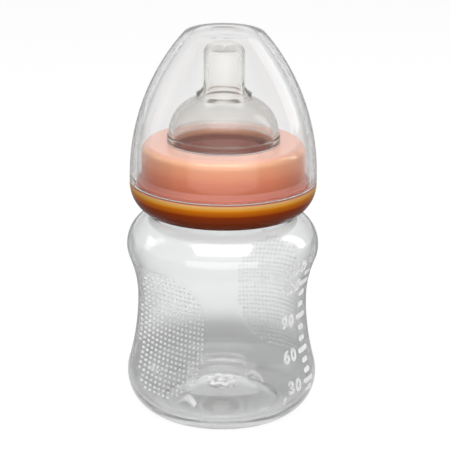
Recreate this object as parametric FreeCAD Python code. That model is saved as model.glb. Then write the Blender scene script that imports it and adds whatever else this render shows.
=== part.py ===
"""Wide-neck baby bottle: waisted bottle, silicone teat, screw collar and domed cap, in millimetres.

The origin is the centre of the standing ring and +Z runs up the axis. The measuring scale belongs on the
-Y side, halfway between the two oval grip pads, which are on the -X and +X sides.
"""
import FreeCAD
import Part
import math
import os
from collections import namedtuple

# Bottle wall, from the standing ring up to the shoulder
BODY_R = 33.0
WAIST_DEPTH = 3.8
HEEL_ROUND = 14.5
HEEL_CUT = 1.5
HEEL_TO_WAIST = 27.5
WAIST_TO_SHOULDER = 19.0
SHOULDER_ROUND = 11.5
WALL = 1.6

# Bottom of the bottle: flat standing ring, push-up, and the nub and disc left by moulding
FOOT_ROUND = 4.0
FOOT_LAND = 3.5
FLOOR = 2.0
HEEL_WALL = 3.5
PUSH_UP = 7.0
GATE_R = 2.2
GATE_DROP = 1.2
GATE_RING_R = 5.2
GATE_RING_DROP = 0.5

# Oval grip pads, raised off the waisted wall
GRIP_DROP = 6.5
GRIP_HALF_HEIGHT = 21.5
GRIP_HALF_WIDTH = 14.5
GRIP_RAISE = 0.3

# Neck of the bottle, plain at the middle height of its thread
NECK_R = 24.9
NECK_WALL = 2.2
NECK_H = 20.6
RIM_ROUND = 0.5

# Screw collar
THREAD_GAP = 0.3
COLLAR_GAP = 1.2
COLLAR_WALL = 2.8
LEDGE_W = 4.0
LIP_W = 2.1
CROWN = 2.0
RING_H = 13.6
LEDGE_ROUND = 0.6
SPIGOT_H = 0.6
RING_FILLET = 1.0
CROWN_ROUND = 2.5
OPENING_R = 18.5
OPENING_ROUND = 0.8

# Teat
FLANGE = 2.0
FLANGE_GAP = 0.3
FLANGE_ROUND = 0.4
TEAT_GAP = 0.3
BEAD_GAP = 0.2
BEAD_LAP = 0.8
BEAD_H = 2.6
BEAD_ROUND = 0.5
TEAT_H = 33.4
TEAT_WALL = 1.7
DOME_ROUND = 13.0
DOME_FILLET = 6.0
TIP_R = 6.9
TIP_LEDGE = 2.5
TIP_RING_H = 1.5
TIP_FILLET = 4.2
TIP_ROUND = 5.0
TIP_WALL = 2.4
MILK_HOLE_R = 0.4

# Domed cap
CAP_WALL = 1.4
CAP_LID = 1.6
CAP_GAP = 0.35
CAP_HEADROOM = 3.4
CAP_STRAIGHT = 2.0
CAP_CURVE = 75.5
CAP_ROUND = 3.0
DISH_R = 7.6
DISH_DEPTH = 0.5
DISH_SLOPE = 1.6

# Heights and radii that follow from the values above
HEEL_Z = HEEL_ROUND - HEEL_CUT
WAIST_R = BODY_R - WAIST_DEPTH
WAIST_Z = HEEL_Z + HEEL_TO_WAIST
SHOULDER_Z = WAIST_Z + WAIST_TO_SHOULDER
SHOULDER_TOP = SHOULDER_Z + SHOULDER_ROUND
NECK_BORE = NECK_R - NECK_WALL
RIM_Z = SHOULDER_TOP + NECK_H
SEAT_Z = RIM_Z + FLANGE
COLLAR_TOP = SEAT_Z + CROWN
COLLAR_BOTTOM = SHOULDER_TOP + COLLAR_GAP
COLLAR_BORE = NECK_R + THREAD_GAP
RING_R = COLLAR_BORE + COLLAR_WALL
COLLAR_R = RING_R + LEDGE_W
LIP_R = COLLAR_BORE + LIP_W
LEDGE_Z = COLLAR_TOP - RING_H
TEAT_TOP = COLLAR_TOP + TEAT_H
CAP_R = COLLAR_R
CAP_BORE = CAP_R - CAP_WALL
CAP_TOP = TEAT_TOP + CAP_HEADROOM + CAP_LID
SPIGOT_R = CAP_BORE - CAP_GAP

JOIN = 1e-6
RIGHT = math.pi / 2
GRIP_SHELL_LOW = -math.pi / 4
GRIP_SHELL_HIGH = math.pi / 6

Arc = namedtuple("Arc", "centre radius start end")


def on_arc(arc, angle):
    """The point of an arc's circle at an angle, as (radius, height)."""
    return (arc.centre[0] + arc.radius * math.cos(angle), arc.centre[1] + arc.radius * math.sin(angle))


def reverse(arcs):
    """The same arcs, run through backwards."""
    return [Arc(arc.centre, arc.radius, arc.end, arc.start) for arc in reversed(arcs)]


def bearing(start, end):
    """The angle of the line from one point to another."""
    return math.atan2(end[1] - start[1], end[0] - start[0])


def space(place):
    """A (radius, height) point in the plane that is turned about the axis."""
    return FreeCAD.Vector(place[0], 0, place[1])


def turn(outline):
    """Turns a closed half outline of points and arcs, joined by straight lines, about the axis."""
    edges = []
    here = None
    for item in outline + outline[:1]:
        begin = on_arc(item, item.start) if isinstance(item, Arc) else item
        if here is not None and math.dist(here, begin) > JOIN:
            edges.append(Part.LineSegment(space(here), space(begin)).toShape())
        here = begin
        if isinstance(item, Arc) and (item is not outline[0] or not edges):
            middle = on_arc(item, (item.start + item.end) / 2)
            here = on_arc(item, item.end)
            edges.append(Part.Arc(space(begin), space(middle), space(here)).toShape())
    return Part.Face(Part.Wire(edges)).revolve(FreeCAD.Vector(), FreeCAD.Vector(0, 0, 1), 360)


def cap_arc(edge_r, edge_z, rise):
    """The arc of a shallow dome from its edge up to the axis."""
    radius = (edge_r**2 + rise**2) / (2 * rise)
    centre = (0, edge_z + rise - radius)
    return Arc(centre, radius, bearing(centre, (edge_r, edge_z)), RIGHT)


def waist_centre(rounding, reach):
    """The centre of the hollow arc that leaves the waist upright and meets a rounding smoothly."""
    radius = (WAIST_DEPTH**2 - 2 * rounding * WAIST_DEPTH + reach**2) / (2 * WAIST_DEPTH)
    return (WAIST_R + radius, WAIST_Z)


def waist_arcs(inset):
    """The two hollow arcs of the wall, below and above the waist, set in from the outside."""
    lower = waist_centre(HEEL_ROUND, HEEL_TO_WAIST)
    upper = waist_centre(SHOULDER_ROUND, WAIST_TO_SHOULDER)
    heel_to_lower = bearing((BODY_R - HEEL_ROUND, HEEL_Z), lower)
    upper_to_shoulder = bearing(upper, (BODY_R - SHOULDER_ROUND, SHOULDER_Z))
    return [
        Arc(lower, lower[0] - WAIST_R + inset, heel_to_lower + math.pi, math.pi),
        Arc(upper, upper[0] - WAIST_R + inset, math.pi, upper_to_shoulder),
    ]


def heel_arc(inset, start):
    """The rounded heel, from an angle up to the hollow of the waist."""
    lower = waist_arcs(inset)[0]
    return Arc((BODY_R - HEEL_ROUND, HEEL_Z), HEEL_ROUND - inset, start, lower.start - math.pi)


def shoulder_arc(inset, end):
    """The rounded shoulder, from the hollow of the waist up to an angle."""
    upper = waist_arcs(inset)[1]
    return Arc((BODY_R - SHOULDER_ROUND, SHOULDER_Z), SHOULDER_ROUND - inset, upper.end - math.pi, end)


def shoulder_end(inset, neck_r):
    """The angle where the shoulder reaches the neck, or its top where the neck is narrower still."""
    across = (neck_r - BODY_R + SHOULDER_ROUND) / (SHOULDER_ROUND - inset)
    return math.acos(max(0, across))


def foot_arc():
    """The small round between the flat standing ring and the heel."""
    heel = (BODY_R - HEEL_ROUND, HEEL_Z)
    across = math.sqrt((HEEL_ROUND - FOOT_ROUND) ** 2 - (HEEL_Z - FOOT_ROUND) ** 2)
    centre = (heel[0] + across, FOOT_ROUND)
    return Arc(centre, FOOT_ROUND, -RIGHT, bearing(heel, centre))


def inner_heel():
    """The inside corner, smooth with the floor and with the inside of the wall."""
    lower = waist_arcs(WALL)[0]
    rounding = HEEL_ROUND - HEEL_WALL
    height = FLOOR + rounding
    across = math.sqrt((lower.radius + rounding) ** 2 - (lower.centre[1] - height) ** 2)
    centre = (lower.centre[0] - across, height)
    return Arc(centre, rounding, -RIGHT, bearing(centre, lower.centre))


def grip_pads():
    """The two oval pads, each following the waisted wall."""
    def band(inset):
        return [heel_arc(inset, GRIP_SHELL_LOW), *waist_arcs(inset), shoulder_arc(inset, GRIP_SHELL_HIGH)]

    shell = turn(band(-GRIP_RAISE) + reverse(band(WALL / 2)))
    centre = FreeCAD.Vector(-BODY_R - GRIP_RAISE, 0, WAIST_Z - GRIP_DROP)
    oval = Part.Ellipse()
    oval.MajorRadius = GRIP_HALF_HEIGHT
    oval.MinorRadius = GRIP_HALF_WIDTH
    outline = oval.toShape()
    outline.rotate(FreeCAD.Vector(), FreeCAD.Vector(0, 1, 0), -90)
    outline.translate(centre)
    through = Part.Face(Part.Wire([outline])).extrude(FreeCAD.Vector(-2 * centre.x, 0, 0))
    return shell.common(through)


def bottle():
    """The hollow bottle with its neck, push-up bottom, moulding disc and nub, and grip pads."""
    foot = foot_arc()
    inner = inner_heel()
    lower, upper = waist_arcs(WALL)
    inner_wall = [
        inner,
        Arc(lower.centre, lower.radius, inner.end + math.pi, lower.end),
        upper,
        shoulder_arc(WALL, shoulder_end(WALL, NECK_BORE)),
    ]
    outside = [
        foot,
        heel_arc(0, foot.end),
        *waist_arcs(0),
        shoulder_arc(0, shoulder_end(0, NECK_R)),
        Arc((NECK_R - RIM_ROUND, RIM_Z - RIM_ROUND), RIM_ROUND, 0, RIGHT),
        Arc((NECK_BORE + RIM_ROUND, RIM_Z - RIM_ROUND), RIM_ROUND, RIGHT, math.pi),
    ]
    floor = cap_arc(inner.centre[0], FLOOR, PUSH_UP)
    hollow = cap_arc(foot.centre[0] - FOOT_LAND, 0, PUSH_UP)
    shape = turn(outside + reverse(inner_wall) + [floor] + reverse([hollow]))
    gate = [
        Part.makeCylinder(radius, drop + FLOOR / 2, FreeCAD.Vector(0, 0, PUSH_UP - drop))
        for radius, drop in ((GATE_R, GATE_DROP), (GATE_RING_R, GATE_RING_DROP))
    ]
    return shape.fuse([*gate, grip_pads()]).removeSplitter()


def teat():
    """The teat: clamped flange, waist in the collar's opening, bead over its edge, dome, ring and tip."""
    flange_r = COLLAR_BORE - FLANGE_GAP
    bead_r = OPENING_R + BEAD_LAP
    bead_low = COLLAR_TOP + BEAD_GAP
    bead_top = bead_low + BEAD_H
    dome_r = bead_r - BEAD_ROUND
    dome = (dome_r - DOME_ROUND, bead_top)
    across = TIP_R + DOME_FILLET - dome[0]
    fillet = (TIP_R + DOME_FILLET, bead_top + math.sqrt((DOME_ROUND + DOME_FILLET) ** 2 - across**2))
    meet = bearing(dome, fillet)
    ring_r = TIP_R + TIP_LEDGE
    ring_from = math.acos((ring_r - dome[0]) / DOME_ROUND)
    ring_top = bead_top + DOME_ROUND * math.sin(ring_from) + TIP_RING_H
    flare = (TIP_R + TIP_FILLET, ring_top + math.sqrt(TIP_FILLET**2 - (TIP_FILLET - TIP_LEDGE) ** 2))
    bore = TIP_R - TEAT_WALL
    tip_z = TEAT_TOP - TIP_WALL
    return turn([
        (dome_r - TEAT_WALL, RIM_Z),
        (flange_r, RIM_Z),
        Arc((flange_r - FLANGE_ROUND, SEAT_Z - FLANGE_ROUND), FLANGE_ROUND, 0, RIGHT),
        (OPENING_R - TEAT_GAP, SEAT_Z),
        (OPENING_R - TEAT_GAP, bead_low),
        (bead_r, bead_low),
        Arc((dome_r, bead_top - BEAD_ROUND), BEAD_ROUND, 0, RIGHT),
        Arc(dome, DOME_ROUND, 0, ring_from),
        Arc(flare, TIP_FILLET, bearing(flare, (ring_r, ring_top)) + 2 * math.pi, math.pi),
        Arc((TIP_R - TIP_ROUND, TEAT_TOP - TIP_ROUND), TIP_ROUND, 0, RIGHT),
        (MILK_HOLE_R, TEAT_TOP),
        (MILK_HOLE_R, tip_z),
        Arc((bore - TIP_ROUND + TEAT_WALL, tip_z - TIP_ROUND + TEAT_WALL), TIP_ROUND - TEAT_WALL, RIGHT, 0),
        Arc(fillet, DOME_FILLET + TEAT_WALL, math.pi, meet + math.pi),
        Arc(dome, DOME_ROUND - TEAT_WALL, meet, 0),
    ])


def screw_collar():
    """The screw collar: bowl-shaped flange, ledge for the cap, upright ring and open crown."""
    ledge = LEDGE_Z - LEDGE_ROUND
    drop = ledge - COLLAR_BOTTOM
    step = COLLAR_R - LIP_R
    bowl_r = (step**2 + drop**2) / (2 * step)
    bowl = (COLLAR_R - bowl_r, ledge)
    return turn([
        (COLLAR_BORE, COLLAR_BOTTOM),
        Arc(bowl, bowl_r, bearing(bowl, (LIP_R, COLLAR_BOTTOM)), 0),
        Arc((COLLAR_R - LEDGE_ROUND, ledge), LEDGE_ROUND, 0, RIGHT),
        (SPIGOT_R, LEDGE_Z),
        (SPIGOT_R, LEDGE_Z + SPIGOT_H),
        Arc((RING_R + RING_FILLET, LEDGE_Z + SPIGOT_H + RING_FILLET), RING_FILLET, -RIGHT, -math.pi),
        Arc((RING_R - CROWN_ROUND, COLLAR_TOP - CROWN_ROUND), CROWN_ROUND, 0, RIGHT),
        Arc((OPENING_R + OPENING_ROUND, COLLAR_TOP - OPENING_ROUND), OPENING_ROUND, RIGHT, math.pi),
        (OPENING_R, SEAT_Z),
        (COLLAR_BORE, SEAT_Z),
    ])


def dome_cap():
    """The domed cap: straight rim, long curved side and a flat top with a shallow dish."""
    side = (CAP_R - CAP_CURVE, LEDGE_Z + CAP_STRAIGHT)
    top_z = CAP_TOP - CAP_ROUND
    across = math.sqrt((CAP_CURVE - CAP_ROUND) ** 2 - (top_z - side[1]) ** 2)
    top = (side[0] + across, top_z)
    meet = bearing(side, top)
    lid_z = CAP_TOP - CAP_LID
    inner_round = CAP_ROUND - CAP_WALL
    inner_top = (top[0], lid_z - inner_round)
    inner_across = math.sqrt((CAP_CURVE - CAP_ROUND) ** 2 - (inner_top[1] - side[1]) ** 2)
    inner_top = (side[0] + inner_across, inner_top[1])
    inner_meet = bearing(side, inner_top)
    return turn([
        (CAP_BORE, LEDGE_Z),
        (CAP_R, LEDGE_Z),
        Arc(side, CAP_CURVE, 0, meet),
        Arc(top, CAP_ROUND, meet, RIGHT),
        (DISH_R, CAP_TOP),
        (DISH_R - DISH_SLOPE, CAP_TOP - DISH_DEPTH),
        (0, CAP_TOP - DISH_DEPTH),
        (0, lid_z),
        Arc(inner_top, inner_round, RIGHT, inner_meet),
        Arc(side, CAP_CURVE - CAP_WALL, inner_meet, 0),
    ])


def main():
    """Writes one file for each piece."""
    os.makedirs("parts", exist_ok=True)
    for piece in (bottle, teat, screw_collar, dome_cap):
        shape = piece()
        shape.exportStep(f"parts/{piece.__name__}.step")
        print(piece.__name__, len(shape.Solids), shape.isValid(), round(shape.Volume), shape.BoundBox)


main()
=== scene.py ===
"""Looks of a wide-neck baby bottle: waisted bottle, silicone teat, screw collar and domed cap.

Every size is in metres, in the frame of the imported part: the origin is the centre of the standing ring,
+Z runs up the axis, the measuring scale faces -Y and the two grips face -X and +X.
"""

import logging
import math
from dataclasses import dataclass, field
from enum import Enum
from typing import Callable, Optional, Union

import bpy
import numpy as np
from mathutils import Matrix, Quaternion, Vector


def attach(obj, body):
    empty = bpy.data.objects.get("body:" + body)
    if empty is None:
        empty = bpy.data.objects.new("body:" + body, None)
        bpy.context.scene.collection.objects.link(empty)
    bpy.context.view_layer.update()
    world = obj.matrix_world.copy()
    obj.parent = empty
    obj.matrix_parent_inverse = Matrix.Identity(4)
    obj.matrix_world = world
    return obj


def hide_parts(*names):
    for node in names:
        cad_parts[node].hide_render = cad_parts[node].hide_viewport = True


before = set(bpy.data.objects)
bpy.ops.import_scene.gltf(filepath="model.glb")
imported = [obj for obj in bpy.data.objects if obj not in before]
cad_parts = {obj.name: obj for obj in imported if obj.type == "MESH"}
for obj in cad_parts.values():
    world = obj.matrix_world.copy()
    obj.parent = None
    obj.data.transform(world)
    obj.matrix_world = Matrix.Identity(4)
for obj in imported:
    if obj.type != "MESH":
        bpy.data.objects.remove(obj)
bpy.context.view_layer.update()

LOG = logging.getLogger("baby_bottle")
RIGHT = math.pi / 2
FULL = 2 * math.pi
NEAR = 1e-7
EDGE_POWER = 4.0
BUMP_DEPTH = 0.001
UNDER_ONE = 0.5
MILLILITRE = 1e-6

Place = tuple[float, float]
Colour = tuple[float, float, float]
Tree = bpy.types.NodeTree
Socket = bpy.types.NodeSocket


class Node(Enum):
    """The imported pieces, by the name of their node."""

    BOTTLE = "bottle"
    TEAT = "teat"
    COLLAR = "screw_collar"
    CAP = "dome_cap"


class Body(Enum):
    """The moving bodies, by name."""

    BOTTLE = "bottle_body"
    TEAT = "teat_body"
    COLLAR = "collar_body"
    CAP = "cap_body"


class Slot(Enum):
    """The record's material slots."""

    BOTTLE = "clear_bottle"
    TEAT = "silicone"
    COLLAR = "orange_collar"
    CAP = "clear_cap"


@dataclass(frozen=True)
class Arc:
    """An arc of an outline, in the plane of radius and height.

    Its angles are measured from the outward direction towards the upward one.
    """

    centre: Place
    radius: float
    start: float
    end: float

    def at(self, angle: float) -> Place:
        """The point of the arc's circle at an angle."""
        across, up = self.centre
        return (across + self.radius * math.cos(angle), up + self.radius * math.sin(angle))

    def reverse(self) -> "Arc":
        """The same arc, run through backwards."""
        return Arc(self.centre, self.radius, self.end, self.start)

    def points(self, step: float) -> list[Place]:
        """Points along the arc, both ends among them.

        Args:
            step: The longest distance between two points.

        Returns:
            The points, from the arc's start to its end.
        """
        fewest = 6
        count = max(fewest, math.ceil(abs(self.end - self.start) * self.radius / step))
        return [self.at(self.start + (self.end - self.start) * i / count) for i in range(count + 1)]


Outline = list[Union[Place, Arc]]


def bearing(start: Place, end: Place) -> float:
    """The angle of the line from one point to another."""
    return math.atan2(end[1] - start[1], end[0] - start[0])


def shallow_dome(edge_r: float, edge_z: float, rise: float) -> Arc:
    """The arc of a shallow dome from its edge up to the axis.

    Args:
        edge_r: The radius of the dome's edge.
        edge_z: The height of the dome's edge.
        rise: How far the dome stands above its edge.

    Returns:
        The arc, from the edge to the axis.
    """
    radius = (edge_r**2 + rise**2) / (2 * rise)
    centre = (0.0, edge_z + rise - radius)
    return Arc(centre, radius, bearing(centre, (edge_r, edge_z)), RIGHT)


def trace(outline: Outline, step: float) -> list[Place]:
    """Points along an outline whose items are joined by straight lines.

    Args:
        outline: Corner points and arcs, in order.
        step: The longest distance between two points.

    Returns:
        The points in order, with no two in the same place.
    """
    path: list[Place] = []
    for item in outline:
        for place in item.points(step) if isinstance(item, Arc) else [item]:
            if path and math.dist(path[-1], place) < NEAR:
                continue
            if path:
                last = path[-1]
                cuts = math.ceil(math.dist(last, place) / step - NEAR)
                for i in range(1, cuts):
                    share = i / cuts
                    path.append(tuple(a + (b - a) * share for a, b in zip(last, place)))
            path.append(place)
    return path


def moulded(name: str, points: list[np.ndarray], faces: list, sharp: float) -> bpy.types.Object:
    """Makes a smooth object of points and faces.

    Args:
        name: The object's name.
        points: The points, in one or more arrays.
        faces: The faces, each as the indices of its points.
        sharp: The angle between two faces from which their edge is crisp, in radians.

    Returns:
        The new object, linked to the scene.
    """
    mesh = bpy.data.meshes.new(name)
    mesh.from_pydata(np.concatenate(points).tolist(), [], faces)
    mesh.validate()
    mesh.shade_smooth()
    mesh.set_sharp_from_angle(angle=sharp)
    made = bpy.data.objects.new(name, mesh)
    bpy.context.scene.collection.objects.link(made)
    return made


Relief = Callable[[np.ndarray, np.ndarray], np.ndarray]


class Lathe:
    """Rings of points about the axis, joined one to the next into a closed skin."""

    def __init__(self) -> None:
        """Starts with no rings."""
        self.points: list[np.ndarray] = []
        self.rings: list[tuple[int, np.ndarray]] = []
        self.count = 0

    def ring(self, place: Place, angles: np.ndarray, relief: Optional[Relief] = None) -> None:
        """Adds a ring, or a single point where the outline meets the axis.

        Args:
            place: The ring's radius and height.
            angles: The angles of its points, rising.
            relief: How far each point stands out from the plain ring.
        """
        radius, height = place
        if radius < NEAR:
            angles = np.zeros(1)
        level = np.full(len(angles), height)
        lift = np.zeros(len(angles)) if relief is None else relief(angles, level)
        spread = radius + lift
        self.points.append(np.column_stack((spread * np.cos(angles), spread * np.sin(angles), level)))
        self.rings.append((self.count, angles))
        self.count += len(angles)

    def sweep(self, path: list[Place], angles: np.ndarray, relief: Optional[Relief] = None) -> None:
        """Adds a ring for each point of a path."""
        for place in path:
            self.ring(place, angles, relief)

    @staticmethod
    def strip(low: tuple[int, np.ndarray], high: tuple[int, np.ndarray]) -> list[tuple[int, ...]]:
        """The faces between two rings, which may have different counts of points.

        Args:
            low: The first ring's first point and its angles.
            high: The second ring's first point and its angles.

        Returns:
            The faces, each as the indices of its points.
        """
        (a, low_angles), (b, high_angles) = low, high
        n, m = len(low_angles), len(high_angles)
        if n == 1:
            return [(a, b + (j + 1) % m, b + j) for j in range(m)]
        if m == 1:
            return [(a + i, a + (i + 1) % n, b) for i in range(n)]
        if n == m:
            return [(a + i, a + (i + 1) % n, b + (i + 1) % n, b + i) for i in range(n)]
        faces: list[tuple[int, ...]] = []
        first = np.append(low_angles, low_angles[0] + FULL)
        second = np.append(high_angles, high_angles[0] + FULL)
        i = j = 0
        while i < n or j < m:
            if j == m or (i < n and first[i + 1] <= second[j + 1]):
                faces.append((a + i, a + (i + 1) % n, b + j % m))
                i += 1
            else:
                faces.append((a + i % n, b + (j + 1) % m, b + j))
                j += 1
        return faces

    def make(self, name: str, sharp: float, closed: bool = False) -> bpy.types.Object:
        """Joins the rings and makes a smooth object of them.

        Args:
            name: The object's name.
            sharp: The angle between two faces from which their edge is crisp, in radians.
            closed: Whether the last ring joins the first.

        Returns:
            The new object, linked to the scene.
        """
        pairs = list(zip(self.rings, self.rings[1:]))
        if closed:
            pairs.append((self.rings[-1], self.rings[0]))
        faces = [face for low, high in pairs for face in self.strip(low, high)]
        return moulded(name, self.points, faces, sharp)


def even_angles(count: int) -> np.ndarray:
    """Angles evenly spaced round the axis, from -180 degrees."""
    return -math.pi + np.arange(count) * FULL / count


def fade(low: float, high: float, value: np.ndarray) -> np.ndarray:
    """A smooth step from 0 at one value to 1 at another."""
    share = np.clip((value - low) / (high - low), 0.0, 1.0)
    return share * share * (3.0 - 2.0 * share)


@dataclass(frozen=True)
class Thread:
    """A moulded screw thread: one ridge that climbs round the axis."""

    lead: float = 0.0050
    start_z: float = 0.0775
    turns: float = 1.9
    depth: float = 0.0012
    crest: float = 0.0005
    foot: float = 0.0013
    run_out: float = 0.12

    def relief(self, angles: np.ndarray, heights: np.ndarray) -> np.ndarray:
        """How far the ridge stands out of its cylinder.

        Args:
            angles: The angles of the points.
            heights: The heights of the points.

        Returns:
            The ridge's height at each point.
        """
        turn = angles / FULL
        climb = (heights - self.start_z) / self.lead
        lap = np.round(climb - turn)
        along = turn + lap
        away = np.abs(climb - along) * self.lead
        ends = fade(0.0, self.run_out, along) * fade(0.0, self.run_out, self.turns - along)
        return self.depth * ends * (1.0 - fade(self.crest, self.foot, away))


class Glyphs:
    """Figures drawn as rounded strokes in a box of height 1."""

    WIDTH = 0.62
    GAP = 0.22
    BEND_STEPS = 10

    @classmethod
    def bend(cls, centre: Place, across: float, tall: float, start: float, end: float) -> list[Place]:
        """Points along part of an ellipse, with its angles in degrees."""
        turn = [math.radians(start + (end - start) * i / cls.BEND_STEPS) for i in range(cls.BEND_STEPS + 1)]
        return [(centre[0] + across * math.cos(t), centre[1] + tall * math.sin(t)) for t in turn]

    @classmethod
    def strokes(cls, figure: str) -> list[list[Place]]:
        """The strokes of one figure.

        Args:
            figure: A digit or a letter of the unit.

        Returns:
            The strokes, each a list of points.
        """
        six = [cls.bend((0.31, 0.32), 0.23, 0.24, 0, 360), cls.bend((0.56, 0.34), 0.48, 0.58, 180, 112)]
        drawn = {
            "0": [cls.bend((0.31, 0.5), 0.23, 0.42, 0, 360)],
            "1": [[(0.16, 0.76), (0.36, 0.92), (0.36, 0.08)]],
            "2": [cls.bend((0.31, 0.68), 0.23, 0.24, 165, -35) + [(0.08, 0.08), (0.56, 0.08)]],
            "3": [
                cls.bend((0.29, 0.71), 0.21, 0.21, 150, -85),
                cls.bend((0.29, 0.29), 0.23, 0.21, 85, -150),
            ],
            "4": [[(0.44, 0.08), (0.44, 0.92), (0.06, 0.32), (0.58, 0.32)]],
            "6": six,
            "9": [[(0.62 - x, 1.0 - y) for x, y in stroke] for stroke in six],
            "m": [
                [(0.05, 0.08), (0.05, 0.6)],
                cls.bend((0.18, 0.45), 0.13, 0.15, 180, 0) + [(0.31, 0.08)],
                cls.bend((0.44, 0.45), 0.13, 0.15, 180, 0) + [(0.57, 0.08)],
            ],
            "l": [[(0.3, 0.08), (0.3, 0.92)]],
        }
        return drawn[figure]

    @classmethod
    def text(cls, words: str, centre: Place, height: float) -> list[list[Place]]:
        """The strokes of a row of figures.

        Args:
            words: The figures, from left to right.
            centre: The middle of the row.
            height: The figures' height.

        Returns:
            The strokes, each a list of points.
        """
        wide = len(words) * cls.WIDTH + (len(words) - 1) * cls.GAP
        middle, level = centre
        rows = []
        for i, figure in enumerate(words):
            left = i * (cls.WIDTH + cls.GAP) - wide / 2
            for stroke in cls.strokes(figure):
                rows.append([(middle + (left + x) * height, level + (y - 0.5) * height) for x, y in stroke])
        return rows


@dataclass(frozen=True)
class Plates:
    """Raised marks made as thin closed plates that lie on a turned wall or floor.

    Attributes:
        name: The object's name.
        window: The angles on a wall, or the distances on a floor, between which they lie.
        mean_r: The wall's mean radius.
        grid: The distance between their points.
        base: How far above the plain wall they stand.
        gap: The air between them and the wall.
        least: The relief that counts as a mark.
        thick: The thickest that marks on a floor are, so that tall ones are hollow beneath.
        crisp: The angle between two faces from which their edge is crisp, in radians.
    """

    name: str
    window: Place
    mean_r: float
    grid: float
    base: float = 0.0
    gap: float = 0.00001
    least: float = 0.00003
    thick: float = 1.0
    crisp: float = math.radians(60)

    def on_wall(self, wall: list[Place], relief: Relief) -> bpy.types.Object:
        """Lays the plates on a wall.

        Args:
            wall: Points up the outside wall.
            relief: How far the marks stand out, by angle and height.

        Returns:
            The new object, linked to the scene.
        """
        heights = np.arange(wall[0][1], wall[-1][1], self.grid)
        radii = self.base + np.interp(heights, [z for _, z in wall], [r for r, _ in wall])
        angles = np.arange(*self.window, self.grid / self.mean_r)
        lifts = np.array([relief(angles, np.full(len(angles), z)) for z in heights])
        shown = lifts > self.least
        rows, columns = np.nonzero(shown)
        turns = angles[columns]
        sides = []
        for radius in (radii[rows] + lifts[shown], radii[rows] + self.gap):
            sides.append(np.column_stack((radius * np.cos(turns), radius * np.sin(turns), heights[rows])))
        return self.close(shown, sides)

    def on_floor(self, floor: list[Place], relief: Relief) -> bpy.types.Object:
        """Lays the plates on a floor.

        Args:
            floor: Points from the middle of the floor outwards.
            relief: How far the marks stand up, by the two distances from the middle.

        Returns:
            The new object, linked to the scene.
        """
        steps = np.arange(*self.window, self.grid)
        x, y = np.meshgrid(steps, steps)
        lifts = relief(x, y)
        shown = lifts > self.least
        z = np.interp(np.hypot(x, y)[shown], [r for r, _ in floor], [height for _, height in floor])
        under = np.maximum(lifts[shown] - self.thick, self.gap)
        sides = [np.column_stack((x[shown], y[shown], z + lift)) for lift in (lifts[shown], under)]
        return self.close(shown, sides)

    def close(self, shown: np.ndarray, sides: list[np.ndarray]) -> bpy.types.Object:
        """Closes the plates: their upper side, their underside and their edges.

        Args:
            shown: Which points of the grid belong to a mark.
            sides: The points of the upper side and those of the underside.

        Returns:
            The new object, linked to the scene.
        """
        number = (np.cumsum(shown) - 1).reshape(shown.shape)
        whole = shown[:-1, :-1] & shown[:-1, 1:] & shown[1:, 1:] & shown[1:, :-1]
        corners = (number[:-1, :-1], number[:-1, 1:], number[1:, 1:], number[1:, :-1])
        top = np.column_stack([corner[whole] for corner in corners]).tolist()
        under = len(sides[0])
        edges = {pair for face in top for pair in zip(face, face[1:] + face[:1])}
        faces = top + [[under + i for i in reversed(face)] for face in top]
        faces += [[b, a, under + a, under + b] for a, b in sorted(edges) if (b, a) not in edges]
        return moulded(self.name, sides, faces, self.crisp)


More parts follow.
